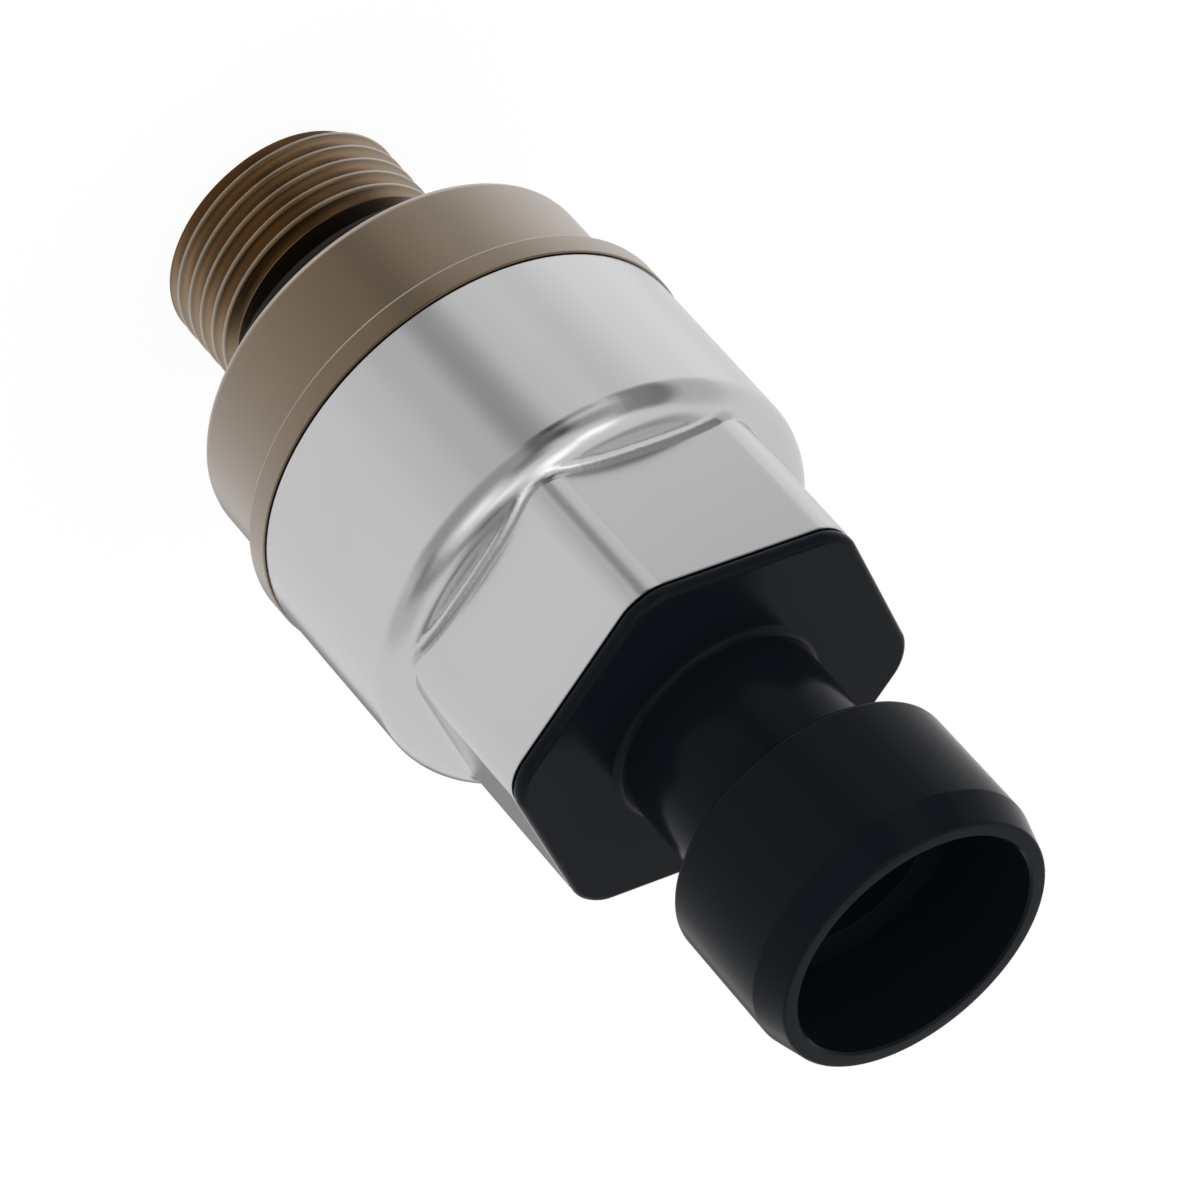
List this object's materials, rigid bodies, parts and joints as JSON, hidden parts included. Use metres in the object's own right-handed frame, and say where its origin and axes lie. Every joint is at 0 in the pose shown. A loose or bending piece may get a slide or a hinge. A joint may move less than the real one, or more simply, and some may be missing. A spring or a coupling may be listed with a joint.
{
  "type": "pressure sensor",
  "caption": "Pressure transmitter with a threaded port under a sealing flange, a drawn round-to-hexagon metal can and a round shrouded electrical socket on a slim neck.",
  "frame": {"origin": "centre of the flange's sealing face, on the axis", "axes": "+Z along the axis from the threaded stem to the socket, +X square to a flat of the hexagon and along the row of terminals"},
  "size_m": [0.0307, 0.0306, 0.0693],
  "materials": {
    "port_metal": "turned and dulled to a satin bronze-brown",
    "black_rubber": "moulded, slightly glossy",
    "can_steel": "drawn stainless steel, smooth satin",
    "connector_plastic": "moulded, between satin and gloss",
    "white_ceramic": "fired and ground",
    "bond_glass": "fused glass frit",
    "plated_pins": "tin plated",
    "stack_plastic": "moulded, natural colour",
    "spring_steel": "rolled spring steel",
    "board_laminate": "glass-fibre board with green mask",
    "chip_epoxy": "moulded epoxy",
    "capacitor_ceramic": "fired",
    "resistor_ceramic": "fired, black glaze",
    "contact_metal": "tin plated copper alloy"
  },
  "bodies": {
    "root": {"process_port": "port_metal", "port_ring": "black_rubber", "can": "can_steel", "connector_body": "connector_plastic", "can_seal": "black_rubber", "cell_ring": "black_rubber", "cell_membrane": "white_ceramic", "cell_glass": "bond_glass", "cell_base": "white_ceramic", "cell_pins": "plated_pins", "support_ring": "stack_plastic", "disc_spring": "spring_steel", "spacer_sleeve": "stack_plastic", "circuit_board": "board_laminate", "signal_chip": "chip_epoxy", "capacitors": "capacitor_ceramic", "resistors": "resistor_ceramic", "contact_spring_1": "contact_metal", "contact_spring_2": "contact_metal", "contact_spring_3": "contact_metal", "terminal_1": "contact_metal", "terminal_2": "contact_metal", "terminal_3": "contact_metal"}
  },
  "joints": []
}
